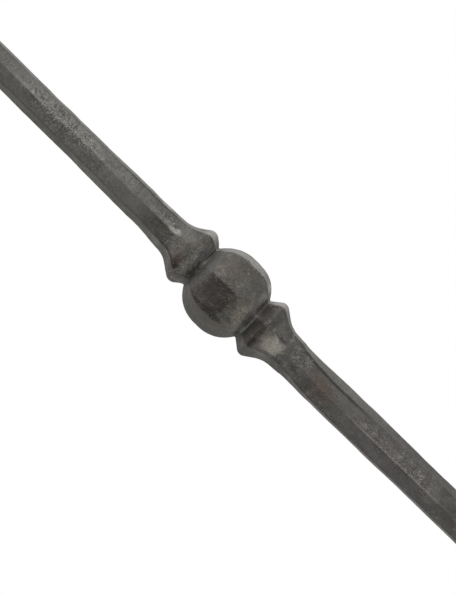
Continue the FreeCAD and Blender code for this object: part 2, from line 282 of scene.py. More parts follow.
def eased(value, start, end):
    share = np.clip((value - start) / (end - start), 0, 1)
    return share * share * (3 - 2 * share)


def ringFrame(points):
    # Each point seen from its own ring: across, front to back, and the ring's ridge radius
    heights, flats, shifts, turns = np.array(rings).T
    height = points[:, 2] - barForm["ballHeight"]
    angle = np.radians(np.interp(height, heights, turns))
    across = points[:, 0] - np.interp(height, heights, shifts)
    cosine, sine = np.cos(angle), np.sin(angle)
    side = across * cosine + points[:, 1] * sine
    front = across * sine - points[:, 1] * cosine
    ridge = np.interp(height, heights, flats) / 2 / math.cos(barForm["roof"])
    return height, angle, side, front, ridge


# Where the photo shows the front ridge worn, by height from the ball's middle. Its wear isn't
# painted light there, and a share of the ridge is taken off.
flattened = [
    {"low": -81.0, "lowFade": -74.0, "highFade": -41.0, "high": -36.0, "share": 0.85},
    {"low": 20.5, "lowFade": 23.5, "highFade": 31.0, "high": 37.0, "share": 0.45},
    {"low": -15.5, "lowFade": -12.0, "highFade": 9.0, "high": 13.0, "share": 0.0},
]


def zoneShare(height, zone):
    # From 0 outside a zone to 1 in its middle
    rise = eased(height, zone["low"], zone["lowFade"])
    return rise * (1 - eased(height, zone["highFade"], zone["high"]))


def flattenRidge(bar):
    # The ridge goes back towards the straight line between the corners beside it
    points = readPoints(bar)
    height, angle, side, front, ridge = ringFrame(points)
    corner = math.sqrt(2) / (1 + math.tan(barForm["roof"])) / math.sqrt(2)
    proud = np.clip(front - corner * ridge, 0, None)
    for zone in flattened:
        move = proud * zoneShare(height, zone) * zone["share"]
        points[:, 0] -= move * np.sin(angle)
        points[:, 1] += move * np.cos(angle)
    writePoints(bar, points)


# Hammer marks: one for each stretch of a facet, with its reach and depth in millimetres
# They are fainter on the knuckle, and the bar is thickened by what they take away
hammerMarks = {
    "seed": 7,
    "stretch": 11.0,
    "stretchSpread": (0.6, 1.4),
    "aimSpread": 14,              # degrees to either side of a facet's middle
    "endRoom": 2,
    "reach": (6.0, 11.0),
    "depth": (0.04, 0.2),
    "calmHeights": (33.0, 52.0),
    "calmShare": 0.3,
    "makeUp": 0.24,
}
# Single hollows that the photo shows, by height and side of the bar
deepMarks = [
    {"height": -31.0, "aim": -98.0, "reach": 6.0, "depth": 0.55},
    {"height": -45.0, "aim": -100.0, "reach": 6.0, "depth": 0.3},
    {"height": 37.5, "aim": -75.0, "reach": 5.0, "depth": 0.35},
    {"height": 26.0, "aim": -100.0, "reach": 6.0, "depth": 0.35},
]


def pressMark(points, away, centre, direction, reach, depth):
    # A shallow round hollow, pressed in along one direction on the side that faces it
    near = np.abs(points[:, 2] - centre[2]) < reach
    apart = np.linalg.norm(points[near] - centre, axis=1) / reach
    bowl = np.clip(1 - apart**2, 0, 1) ** 2
    facing = np.clip(away[near] @ direction, 0, 1)
    points[near] -= np.outer(bowl * facing * depth, direction)


def hammerBar(bar):
    points = readPoints(bar)
    height, angle, side, front, ridge = ringFrame(points)
    away = np.zeros_like(points)
    away[:, 0] = side * np.cos(angle) + front * np.sin(angle)
    away[:, 1] = side * np.sin(angle) - front * np.cos(angle)
    away /= np.linalg.norm(away, axis=1)[:, None]
    heights, flats, shifts, turns = np.array(rings).T
    chance = np.random.default_rng(hammerMarks["seed"])
    calm = hammerMarks["calmShare"]
    makeUp = calm + (1 - calm) * eased(np.abs(height), *hammerMarks["calmHeights"])
    points += away * (makeUp * hammerMarks["makeUp"])[:, None]

    def centreAt(middle, aim):
        radius = np.interp(middle, heights, flats) / 2
        direction = np.array([math.cos(aim), math.sin(aim), 0])
        centre = direction * radius
        centre[0] += np.interp(middle, heights, shifts)
        centre[2] = middle + barForm["ballHeight"]
        return centre, direction

    fromEnd = hammerMarks["reach"][1] + hammerMarks["endRoom"]
    spread = hammerMarks["aimSpread"]
    for facet in range(barForm["sides"]):
        middle = heights[0] + fromEnd
        while middle < heights[-1] - fromEnd:
            degrees = (facet + 0.5) * barForm["facetStep"] + np.interp(middle, heights, turns)
            aim = math.radians(degrees + chance.uniform(-spread, spread))
            reach = chance.uniform(*hammerMarks["reach"])
            depth = chance.uniform(*hammerMarks["depth"])
            depth *= calm + (1 - calm) * eased(abs(middle), *hammerMarks["calmHeights"])
            pressMark(points, away, *centreAt(middle, aim), reach, depth)
            middle += hammerMarks["stretch"] * chance.uniform(*hammerMarks["stretchSpread"])
    for mark in deepMarks:
        centre, direction = centreAt(mark["height"], math.radians(mark["aim"]))
        pressMark(points, away, centre, direction, mark["reach"], mark["depth"])
    writePoints(bar, points)
    print("bar hammered")


# Uneven forged skin: size of the waves and how far they rise, in millimetres
skinWaves = {
    "longWave": {"size": 24.0, "rise": 0.2, "detail": 1},
    "shortWave": {"size": 5.0, "rise": 0.15, "detail": 2},
    "scaleWave": {"size": 1.9, "rise": 0.08, "detail": 3},
}
endReach = {"still": 0.9, "full": 6.0}     # the sawn ends stay flat


def roughenSkin(bar):
    points = readPoints(bar)
    height = points[:, 2]
    fromEnd = np.minimum(height, height.max() - height)
    share = eased(fromEnd, endReach["still"], endReach["full"])
    groupName = "workedSkin"
    group = bar.vertex_groups.new(name=groupName)
    for number, weight in enumerate(share):
        group.add([number], float(weight), "REPLACE")
    for name, wave in skinWaves.items():
        texture = bpy.data.textures.new(name, "CLOUDS")
        texture.noise_scale = wave["size"] * mm
        texture.noise_depth = wave["detail"]
        modifier = bar.modifiers.new(name, "DISPLACE")
        modifier.texture = texture
        modifier.texture_coords = "LOCAL"
        modifier.direction = "NORMAL"
        modifier.mid_level = 0.5
        modifier.strength = wave["rise"] * mm
        modifier.vertex_group = groupName
        bpy.ops.object.modifier_apply(modifier=name)
    print("skin roughened")


# Reach of the worn ridges and of the painted shade in the grooves beside the ball, in millimetres
surfaceMarks = {"ridgeReach": 0.7, "cornerReach": 0.7, "grooveInner": 0.4, "grooveOuter": 1.8}


def markSurface(bar):
    # Numbers at each point for the material: on a ridge, on a corner, down in a groove, and the
    # place around the bar in facets, from 0 at the front ridge to 4 or -4 at the back one
    points = readPoints(bar)
    height, angle, side, front, ridge = ringFrame(points)
    step = barForm["facetStep"]
    around = np.degrees(np.arctan2(front, side))
    toMm = np.radians(1) * np.hypot(side, front)
    offRidge = np.abs((around + step) % (2 * step) - step) * toMm
    offCorner = np.abs(around % (2 * step) - step) * toMm
    onRidge = 1 - eased(offRidge, 0, surfaceMarks["ridgeReach"])
    onCorner = 1 - eased(offCorner, 0, surfaceMarks["cornerReach"])
    for zone in flattened:
        onRidge *= 1 - zoneShare(height, zone) * (front > np.abs(side))
    neck = ballPoints(barForm["knuckleStep"])[-1].y
    # Down in the grooves the iron is darkened as painted shade
    fromGroove = np.minimum(
        np.abs(height - neck - upperCollar["gap"] / 2),
        np.abs(height + neck + lowerCollar["gap"] / 2),
    )
    inGroove = 1 - eased(fromGroove, surfaceMarks["grooveInner"], surfaceMarks["grooveOuter"])
    facet = np.degrees(np.arctan2(side, front)) / step
    marks = {
        "ridgeWear": onRidge,
        "cornerLine": onCorner,
        "grooveShade": inGroove,
        "facetPlace": facet,
    }
    for name, values in marks.items():
        attribute = bar.data.attributes.new(name, "FLOAT", "POINT")
        attribute.data.foreach_set("value", values.astype(np.float32))


rings = ringList()
bar = drawBar(rings)
divideFacets(bar)
flattenRidge(bar)
hammerBar(bar)
markSurface(bar)
roughenSkin(bar)
bpy.ops.object.select_all(action="DESELECT")
bar.select_set(True)
bpy.context.view_layer.objects.active = bar
bpy.ops.object.shade_smooth_by_angle(angle=barForm["smoothAngle"])
bar.modifiers.new("evenFacets", "WEIGHTED_NORMAL")     # keeps the facets flat up to their ridges
bpy.ops.object.modifier_apply(modifier="evenFacets")

# The photo's view: the bar leans in the picture, and a pixel is 0.4535 mm there
photo = {
    "width": 456,
    "height": 594,
    "pixel": 0.4535,
    "azimuth": math.radians(-8),
    "lean": math.radians(44.6),
    "ballMiddle": (226.75, 292.6),     # pixel from the left and from the top
    "axisOffset": 2.8,                 # the part's axis, in pixels across the ball's middle
    "distance": 3.0,
    "sensor": 36.0,
    "farthest": 100.0,
}
acrossView = Vector((math.cos(photo["azimuth"]), math.sin(photo["azimuth"]), 0))
towardsCamera = Vector((math.sin(photo["azimuth"]), -math.cos(photo["azimuth"]), 0))

# Screen colours of the iron, its dirt and its rust, and of painted light and shade
tints = {
    "scale": (97, 95, 91),
    "scaleDark": (76, 74, 71),
    # light scale, also used as painted light on the ball's lower side
    "lightScaleAndPaintedLight": (122, 120, 116),
    # bare iron, also used as painted highlight on the facets along the upper right edge
    "bareIronAndHighlight": (176, 173, 167),
    "speckLight": (164, 161, 157),
    # grime, also used as painted shade in the grooves
    "grimeAndShade": (50, 49, 46),
    # soot, also used as painted shade beside the upper arm's front ridge
    "rust": (96, 78, 68),
    "sootAndShade": (60, 59, 55),
    "charBrown": (55, 46, 41),
    # char black, also used as painted shade in the upper groove
    "charBlackAndShade": (38, 33, 29),
    "maroon": (62, 42, 42),
    "maroonDark": (38, 25, 24),
    "moss": (88, 92, 72),
    "mossDark": (88, 97, 88),
    "pink": (124, 110, 104),
    "pinkWhite": (160, 153, 151),
    "violet": (62, 59, 67),
    "tan": (128, 118, 106),
    "cream": (146, 140, 129),
    "brightCream": (189, 184, 175),
    "pinkGrey": (126, 119, 115),
    "mauve": (98, 94, 96),
    "olive": (102, 102, 90),
    "brown": (76, 68, 64),
    "brownDark": (58, 50, 46),
    # a painted highlight in the lower groove
    "grooveHighlight": (156, 163, 155),
    "blackGreen": (50, 54, 50),
    "stripBrown": (54, 48, 42),
    "stripDark": (32, 23, 15),
    "redBrown": (108, 91, 82),
    "paleGrey": (141, 139, 135),
    "white": (186, 184, 179),
}
# Stains on the side that the photo shows, with some painted highlights and painted shade among
# them. Place along and across the bar from the ball's middle and half sizes, in photo pixels, then
# tint and strength. Most keep to some facets: 0 is the front ridge, 1 the corner to its right and
# -1 the one to its left.
anyFacet = (-4, 4)
wholeWidth = 60
facetEdge = 0.03
stains = [
    # Upper arm
    ((-235, 0), (80, wholeWidth), "paleGrey", 0.6, (0, 1)),
    ((-205, 12), (28, 5), "speckLight", 0.25, (0, 1)),
    ((-235, 0), (75, wholeWidth), "scaleDark", 0.4, (1, 2)),
    ((-134, 0), (36, wholeWidth), "paleGrey", 0.32, (0, 1)),
    ((-215, 0), (100, wholeWidth), "lightScaleAndPaintedLight", 0.5, (-1, 0)),
    ((-145, 0), (30, wholeWidth), "lightScaleAndPaintedLight", 0.4, (-1, 0)),
    ((-160, 0), (60, wholeWidth), "lightScaleAndPaintedLight", 0.35, (-2, -1)),
    ((-125, 0), (25, wholeWidth), "lightScaleAndPaintedLight", 0.45, (-1, 0)),
    ((-101, 0), (18, wholeWidth), "sootAndShade", 0.15, (-1, 0)),
    ((-100, -13), (22, 3), "lightScaleAndPaintedLight", 0.45, (-2, -1)),
    # Painted highlight on the upper arm's front ridge, near the collar
    ((-81.5, 7.7), (7.5, 3.2), "white", 0.95, (-0.05, 1)),
    ((-88, -13), (7, 3), "paleGrey", 0.6, (-2, -1)),
    ((-77, 1.5), (4, 5), "grimeAndShade", 0.55, (-1, 0.05)),
    # Upper collar
    ((-68, 14), (10, 8), "paleGrey", 0.5, (0, 1)),
    ((-68, -3), (9, 11), "lightScaleAndPaintedLight", 0.35, (-1, 0)),
    ((-57.5, -11), (6, 9), "maroon", 0.9, (-1, 0)),
    ((-57.5, -16), (6, 5), "maroonDark", 0.75, (-1.2, 0)),
    ((-54, -24), (7, 3), "violet", 0.6, (-2, -1)),
    ((-64, -5), (6, 8), "pink", 0.4, (-1, 0)),
    ((-54.5, 3), (6, 5), "moss", 0.75, anyFacet),
    ((-58, 13), (4, 5), "pink", 0.5, (0, 1)),
    ((-45.5, -8), (4.5, 17), "lightScaleAndPaintedLight", 0.8, (-1, 0)),
    ((-47, 8), (4, 5), "scaleDark", 0.4, (0, 1)),
    ((-48, -7), (4, 13), "olive", 0.3, anyFacet),
    ((-51, 16), (6, 15), "scaleDark", 0.7, (0, 1)),
    ((-50, 24), (6, 5), "sootAndShade", 0.4, (0, 1)),
    ((-50, -25), (7, 5), "scaleDark", 0.9, (-2, -1)),
    ((-51, -26), (5, 4), "brown", 0.45, (-2, -1)),
    ((-44, 13), (3, 6), "violet", 0.9, (0, 1)),
    # Painted highlight on the upper collar's facets along the upper right edge
    ((-50, 32), (8, 8), "bareIronAndHighlight", 0.4, (1, 2)),
    # Painted shade along the upper groove, under the collar
    ((-39.5, -8), (2, 15), "charBlackAndShade", 0.75, (-1.1, 0.1)),
    # Ball
    ((-31, -2), (6, 24), "lightScaleAndPaintedLight", 0.4, (-1, 1)),
    # Painted light lifting the shaded lower side of the ball, above the lower groove
    ((30.5, 0), (6.5, wholeWidth), "lightScaleAndPaintedLight", 0.6, (-1, 1)),
    ((31, 19), (5, 9), "paleGrey", 0.75, (-1, 1)),
    ((32, -19), (4, 7), "paleGrey", 0.7, (-1.1, 0)),
    # Painted highlight on the ball's facets along the upper right edge
    ((27, 33), (5, 7), "bareIronAndHighlight", 0.9, (1, 2)),
    ((-34.7, 4), (2.4, 12), "paleGrey", 0.55, (-1, 1)),
    ((7, 16), (5, 5), "scaleDark", 0.4, (0, 1)),
    ((33.5, 10), (3, 8), "paleGrey", 0.6, (-1, 1)),
    ((20, -24), (5, 4), "lightScaleAndPaintedLight", 0.7, (-1, 0)),
    ((18, 2), (6, 4), "tan", 0.55, (-0.4, 1)),
    ((-6, -12), (22, 22), "charBrown", 0.8, (-1, 0)),
    ((-19, -3), (7, 9), "charBrown", 0.55, (-1, 0)),
    ((3, -18), (9, 13), "charBlackAndShade", 0.6, (-1, 0)),
    ((-13, 1), (10, 6), "charBlackAndShade", 0.5, (-1, 0)),
    ((-4, 0), (20, wholeWidth), "charBlackAndShade", 0.7, (-1.08, -0.88)),
    ((14, -9), (5, 14), "olive", 0.3, (-1, 0)),
    ((-15, -27), (9, 3), "maroon", 0.8, (-1.15, 0)),
    ((-22, 13), (6, 5), "tan", 0.4, (0, 1)),
    ((-9, 20), (10, 18), "scaleDark", 0.55, (0, 1)),
    ((-10, 22), (17, 14), "rust", 0.22, (0, 1)),
    ((-14, 33), (12, 6), "scaleDark", 0.8, (0, 1)),
    ((-14, 8), (8, 3), "scaleDark", 0.5, (0, 1)),
    ((14, 16), (14, 22), "scale", 0.6, (0, 1)),
    ((25.5, -5), (7, 15), "cream", 0.65, (-1, 0.2)),
    ((26, -23), (6, 5), "tan", 0.4, anyFacet),
    # Painted highlight on the ball's facets along the upper right edge
    ((0, 40), (36, 16), "pinkWhite", 0.25, (1, 2)),
    ((0, -36), (36, 14), "scaleDark", 0.85, (-2, -1)),
    ((-15, -33), (8, 4), "mauve", 0.5, (-2, -1)),
    ((-4, -38), (9, 4), "olive", 0.4, (-2, -1)),
    ((13, -34), (8, 4), "pink", 0.25, (-2, -1)),
    # Lower collar
    ((38, 14), (6.5, 7), "brown", 0.8, (0, 1)),
    ((43, -8), (3.2, 14), "blackGreen", 0.85, (-1, 0)),
    ((47, 5), (3.5, 5), "brown", 0.7, anyFacet),
    ((47.5, -8), (3.5, 15), "brown", 0.8, (-1, 0)),
    ((50, 16), (7, 15), "scaleDark", 0.7, (0, 1)),
    ((50, 10), (7, 12), "sootAndShade", 0.65, (0, 1)),
    ((51, 17), (4, 4), "mossDark", 0.4, (0, 1)),
    # Painted highlight on the lower collar's facets along the upper right edge
    ((51, 30), (9, 8), "bareIronAndHighlight", 0.45, (1, 2)),
    ((59.5, -9), (5.5, 14), "pinkGrey", 0.75, (-1, 0)),
    ((70.5, -6), (12, 12), "brightCream", 0.75, (-1, 0.1)),
    ((66, -20), (10, 6), "paleGrey", 0.35, (-2, -1)),
    ((66, 9), (8, 6), "lightScaleAndPaintedLight", 0.45, (0, 1)),
    ((73.8, 4.4), (3, 2.2), "brownDark", 0.9, (-0.1, 1)),
    ((87, 6), (7, 8), "scaleDark", 0.7, (-0.2, 1)),
    ((73, -2), (5, 6), "white", 0.35, (-1, 0.1)),
    # Lower arm
    ((98, 3), (18, 11), "paleGrey", 0.2, anyFacet),
    ((100, -6), (6, 3), "grimeAndShade", 0.7, anyFacet),
    ((104, -12), (14, 4), "lightScaleAndPaintedLight", 0.5, (-2, 0)),
    ((113, 0), (8, 6), "lightScaleAndPaintedLight", 0.5, (-1, 1)),
    ((140, 0), (36, wholeWidth), "lightScaleAndPaintedLight", 0.6, (0, 1)),
    ((140, 0), (36, wholeWidth), "lightScaleAndPaintedLight", 0.25, (1, 2)),
    ((117, 7), (10, 6), "mauve", 0.6, (-1, 1)),
    ((135, 0), (21, 10), "redBrown", 0.55, (-1, 1)),
    ((133, 2), (12, 4), "redBrown", 0.7, (-1, 1)),
    ((138, -6), (14, 4), "brown", 0.4, (-1, 1)),
    ((180, -8), (24, 8), "lightScaleAndPaintedLight", 0.3, (-1, 0)),
    ((160, 8), (48, 5), "lightScaleAndPaintedLight", 0.45, (0, 0.87)),
    ((159, -8), (5, 6), "mossDark", 0.7, (-1, 0)),
    ((230, 0), (78, wholeWidth), "paleGrey", 0.25, (0, 1)),
    ((222, 2), (26, 5), "speckLight", 0.25, (0, 1)),
    ((240, 0), (70, wholeWidth), "scaleDark", 0.45, (1, 2)),
    ((265, 0), (48, wholeWidth), "scaleDark", 0.9, (1, 2)),
    ((262, 0), (45, wholeWidth), "sootAndShade", 0.5, (1, 2)),
    ((240, 12), (7, 5), "mossDark", 0.7, (0, 1)),
    ((272, 0), (38, wholeWidth), "scaleDark", 0.6, (-2, -1)),
    ((235, -4), (76, 26), "mauve", 0.6, anyFacet),
]
# Marks with straight sides, likewise
straightMarks = [
    # Painted shade along the lower collar's rim
    ((51.8, -9), (3, 16), "stripBrown", 0.9, (-1, 0.08)),
    ((52.3, -18), (3.2, 6.5), "stripDark", 0.95, (-1.1, 0)),
    # Painted highlight down the lower groove
    ((38.3, -9), (0.7, 13.5), "grooveHighlight", 0.9, (-1.1, 0.1)),
    # Painted shade at the bottom of the upper groove, on both sides of the front ridge
    ((-37.1, -17), (1.2, 11), "charBlackAndShade", 0.9, (-1.1, 0)),
    ((-37.1, 18), (1.2, 12), "charBlackAndShade", 0.9, (0, 1)),
    # Painted highlight on the collar's underside beside the upper groove
    ((-39.4, 14), (1.1, 12), "paleGrey", 0.3, (-0.1, 1)),
    # Painted highlight on the upper arm's facets along the upper right edge
    ((-103, 0), (7, wholeWidth), "bareIronAndHighlight", 0.6, (1, 2)),
    ((-91, 0), (3.5, wholeWidth), "sootAndShade", 0.7, (0.92, 2)),
    ((-78, -7), (1.2, 5), "paleGrey", 0.5, (-1.05, 0)),
    # Painted highlight on the ball's facets along the upper right edge
    ((-7, 0), (26, wholeWidth), "bareIronAndHighlight", 0.25, (0.96, 2)),
    ((16, 0), (6, wholeWidth), "tan", 0.6, (-1.06, -0.98)),
    ((2.2, 28.5), (1.4, 1.1), "speckLight", 0.45, (0, 1)),
    ((-41, 17), (1.4, 8), "scaleDark", 0.6, (0, 1)),
    ((240, 0), (62, wholeWidth), "speckLight", 0.45, (0, 0.13)),
    # Painted shade on a strip beside the front ridge, where the light falls brighter
    ((-204, 0), (28, wholeWidth), "sootAndShade", 0.5, (-0.02, 0.11)),
    ((-206, 0), (30, wholeWidth), "speckLight", 0.45, (0.11, 0.27)),
    ((-265, 0), (30, wholeWidth), "speckLight", 0.3, (-0.03, 0.13)),
    ((38.4, 15), (0.8, 9), "brownDark", 0.75, (0.1, 1)),
    ((-200, 0), (52, wholeWidth), "lightScaleAndPaintedLight", 0.5, (-0.35, 0)),
    ((-101, 0), (20, wholeWidth), "paleGrey", 0.35, (0, 0.4)),
    ((51.8, 10), (1.6, 5), "brown", 0.5, (0, 1)),
    ((-57.5, -18.3), (4.5, 4.2), "maroonDark", 0.9, (-2, 0)),
    ((-57.5, -17.8), (2.8, 3.2), "stripDark", 0.8, (-2, 0)),
    ((-66, 0), (9, wholeWidth), "speckLight", 0.35, (-1.12, -1)),
    # Painted highlight on the upper collar's facets along the upper right edge
    ((-50, 0), (8, wholeWidth), "bareIronAndHighlight", 0.45, (0.97, 2)),
    ((-50, 0), (9, wholeWidth), "grimeAndShade", 0.6, (0.9, 0.97)),
    # Painted highlight on the lower collar's facets along the upper right edge
    ((48, 0), (8, wholeWidth), "pinkWhite", 0.55, (0.95, 2)),
    ((40.5, 13.5), (3.8, 7), "brownDark", 0.8, (0, 1)),
    ((-7, 0), (18, wholeWidth), "charBlackAndShade", 0.6, (-0.1, -0.02)),
    ((-126, 0), (42, wholeWidth), "grimeAndShade", 0.6, (0.88, 1)),
    ((-72, 0), (13, wholeWidth), "grimeAndShade", 0.75, (-1, -0.88)),
    ((74, 0), (14, wholeWidth), "sootAndShade", 0.75, (-1, -0.86)),
    ((136, 0), (52, wholeWidth), "grimeAndShade", 0.85, (0.87, 1)),
    ((230, 0), (60, wholeWidth), "sootAndShade", 0.5, (-0.1, -0.01)),
]


# The standard curve between a screen's colours and light
screenCurve = {"top": 255, "bend": 0.04045, "slope": 12.92, "lift": 0.055, "power": 2.4}


def linear(tint):
    # A tint's screen colour as light, with its alpha
    c = screenCurve
    light = []
    for part in tints[tint]:
        part /= c["top"]
        if part <= c["bend"]:
            light.append(part / c["slope"])
        else:
            light.append(((part + c["lift"]) / (1 + c["lift"])) ** c["power"])
    return (*light, 1.0)


class NodeDesk:
    # Adds nodes to one tree; a value is a number, a vector or another node's output
    def __init__(self, tree):
        self.tree = tree

    def add(self, kind, values=None, **settings):
        node = self.tree.nodes.new(kind)
        for name, setting in settings.items():
            setattr(node, name, setting)
        for place, value in (values or {}).items():
            if isinstance(value, bpy.types.NodeSocket):
                self.tree.links.new(value, node.inputs[place])
            else:
                node.inputs[place].default_value = value
        return node

    def number(self, operation, first, second=0.0):
        return self.add("ShaderNodeMath", {0: first, 1: second}, operation=operation).outputs[0]

    def vector(self, operation, first, second):
        node = self.add("ShaderNodeVectorMath", {0: first, 1: second}, operation=operation)
        return node.outputs["Value" if operation in ("DOT_PRODUCT", "LENGTH") else "Vector"]

    def noise(self, place, size, layers, rough, coloured=False):
        values = {"Vector": place, "Scale": 1 / size, "Detail": layers, "Roughness": rough}
        return self.add("ShaderNodeTexNoise", values).outputs["Color" if coloured else "Fac"]

    def ramp(self, value, start, end, low=0.0, high=1.0):
        values = {0: value, 1: start, 2: end, 3: low, 4: high}
        return self.add("ShaderNodeMapRange", values, interpolation_type="SMOOTHSTEP").outputs[0]

    def blend(self, share, under, over):
        return self.add("ShaderNodeMix", {0: share, 6: under, 7: over}, data_type="RGBA").outputs[2]

    def attribute(self, name):
        return self.add("ShaderNodeAttribute", attribute_name=name).outputs["Fac"]


# Where the photo shows grainy scale, with light and dark specks
grainyPlaces = [
    ((-235, 8), (70, 9), 1.0),
    ((-150, 13), (14, 6), 0.5),
    ((-95, 11), (20, 6), 0.6),
    ((-81, -2), (8, 6), 0.5),
    ((-83, 9), (7, 4), 0.85),
    ((-70, 2), (10, 8), 0.5),
    ((-57, 20), (9, 9), 0.45),
    ((-52, -25), (9, 6), 0.8),
    ((-62, -9), (4, 5), 0.4),
    ((-49, -6), (5, 20), 0.6),
    ((-14, 10), (14, 10), 0.4),
    ((-6, -7), (9, 7), 0.2),
    ((24, -6), (9, 16), 0.7),
    ((55, 8), (8, 8), 0.4),
    ((66, -5), (12, 10), 0.35),
    ((100, 5), (16, 10), 0.75),
    ((230, 4), (60, 8), 0.7),
    ((0, 40), (40, 6), 0.7),
    ((-50, 31), (10, 5), 0.9),
    ((52, 30), (10, 5), 0.7),
    ((-215, -2), (80, 7), 0.35),
]


def nearness(desk, spot, middle, half, strength, ragged=0.0):
    # Full strength in an oval's middle, fading out past its edge, which a fine pattern breaks
    grow = (1 / half[0], 1 / half[1], 0)
    shift = (-middle[0] / half[0], -middle[1] / half[1], 0)
    values = {0: spot, 1: grow, 2: shift}
    scaled = desk.add("ShaderNodeVectorMath", values, operation="MULTIPLY_ADD").outputs["Vector"]
    reach = desk.number("ADD", desk.vector("LENGTH", scaled, (0, 0, 0)), ragged)
    return desk.ramp(reach, *ironSkin["stainFade"], 0, strength)


# The skin's patterns: where each is cut from the noise, its size in millimetres, how many finer
# layers lie in it and how strong they are
patterns = {
    "cloud": {"cut": (0, 0, 0), "size": 34.0, "layers": 2.0, "rough": 0.55},
    "mottle": {"cut": (31, 7, 0), "size": 9.0, "layers": 4.0, "rough": 0.6},
    "blot": {"cut": (5, 43, 0), "size": 3.2, "layers": 3.0, "rough": 0.6},
    "speck": {"cut": (17, 3, 9), "size": 0.72, "layers": 3.0, "rough": 0.7},
    "fine": {"cut": (9, 51, 77), "size": 0.75, "layers": 2.0, "rough": 0.7},
    "grain": {"cut": (0, 0, 0), "size": 0.38, "layers": 2.0, "rough": 0.6},
    "rusty": {"cut": (71, 19, 13), "size": 15.0, "layers": 4.0, "rough": 0.6},
    "crusty": {"cut": (3, 91, 27), "size": 19.0, "layers": 3.0, "rough": 0.6},
}
# How the patterns show. A range holds where a pattern starts and ends, and mostly how strongly
# it shows at the start and at the end.
ironSkin = {
    "darkClouds": (0.35, 0.65),
    "lightMottle": (0.47, 0.72, 0, 0.75),
    "sootMottle": (0.5, 0.3, 0, 0.6),
    "rust": (0.54, 0.7, 0, 0.7),
    "rustInView": (0, 1, 1, 0.12),          # the photo's side has its own rust
    "paleBlots": (0.55, 0.75, 0, 0.35),
    # how strongly the grooves are darkened as painted shade
    "grooveShadeStrength": 0.2,
    "frontEdge": (-1.0, 1.0),               # millimetres, where the photo's side fades out
    "drifts": (                             # how the stains are pulled, in photo pixels
        {"size": 5.0, "layers": 2.0, "rough": 0.5, "reach": (14.0, 8.4, 0)},
        {"size": 1.3, "layers": 2.0, "rough": 0.5, "reach": (5.2, 3.12, 0)},
    ),
    "stainFade": (1.2, 0.6),                # in half sizes of the stain
    "stainBreaks": (0.35, 0.65, 0.55, 1.0),
    "stainEdge": (0.35, 0.65, -0.3, 0.3),
    "darkGrain": (0.53, 0.7, 0, 0.4),
    "paleGrain": (0.47, 0.3, 0, 0.25),
    "cornerLine": (0.35, 0.6, 0.1, 0.42),
    "ridgeWear": (0.42, 0.62, 0.0, 0.25),
    "crust": (0.45, 0.62, 0.12, 0.8),
    "crustInView": (0.0, 1.0, 1.0, 0.35),
    "fleckMix": {"speck": 0.72, "blot": 0.28},
    "lightFlecks": (0.52, 0.59, 0, 0.75),
    "darkFlecks": (0.48, 0.41, 0, 0.75),
    "bareSpecks": (0.64, 0.76, 0, 0.35),
    "roughness": (0.3, 0.7, 0.42, 0.6),
    "wornPolish": 0.12,
    "speckRoughness": (0.3, 0.7, 0, 0.06),
    "metallic": 0.55,
    "ior": 1.5,
    "rise": {"mottle": 0.5, "blot": 0.28, "pits": 0.3, "speck": 0.08, "grain": 0.03},
}


def drawnStains(desk, inMm, place, noise, shown):
    # Each stain or mark as its share of the colour, with its tint, and the place with its pull
    skin = ironSkin
    pixel = photo["pixel"] * mm
    across = desk.vector("DOT_PRODUCT", place, acrossView / pixel)
    across = desk.number("ADD", across, photo["axisOffset"])
    along = desk.vector("DOT_PRODUCT", place, (0, 0, -1 / pixel))
    along = desk.number("ADD", along, barForm["ballHeight"] * mm / pixel)
    plainSpot = desk.add("ShaderNodeCombineXYZ", {0: along, 1: across}).outputs[0]
    spot = plainSpot
    for pull in skin["drifts"]:
        drift = desk.noise(inMm, pull["size"], pull["layers"], pull["rough"], True)
        drift = desk.vector("SUBTRACT", drift, (0.5, 0.5, 0.5))
        spot = desk.vector("ADD", spot, desk.vector("MULTIPLY", drift, pull["reach"]))
    broken = desk.number("MULTIPLY", shown, desk.ramp(noise["speck"], *skin["stainBreaks"]))
    ragged = desk.ramp(noise["speck"], *skin["stainEdge"])
    facet = desk.attribute("facetPlace")
    shares = []
    drawn = [(spot, ragged, stain) for stain in stains]
    drawn += [(plainSpot, 0.0, mark) for mark in straightMarks]
    for where, edge, (middle, half, tint, strength, facets) in drawn:
        near = nearness(desk, where, middle, half, strength, edge)
        share = desk.number("MULTIPLY", near, broken)
        if facets != anyFacet:
            for side, soft in zip(facets, (facetEdge, -facetEdge)):
                share = desk.number("MULTIPLY", share, desk.ramp(facet, side - soft, side + soft))
        shares.append((share, tint))
    return shares, spot


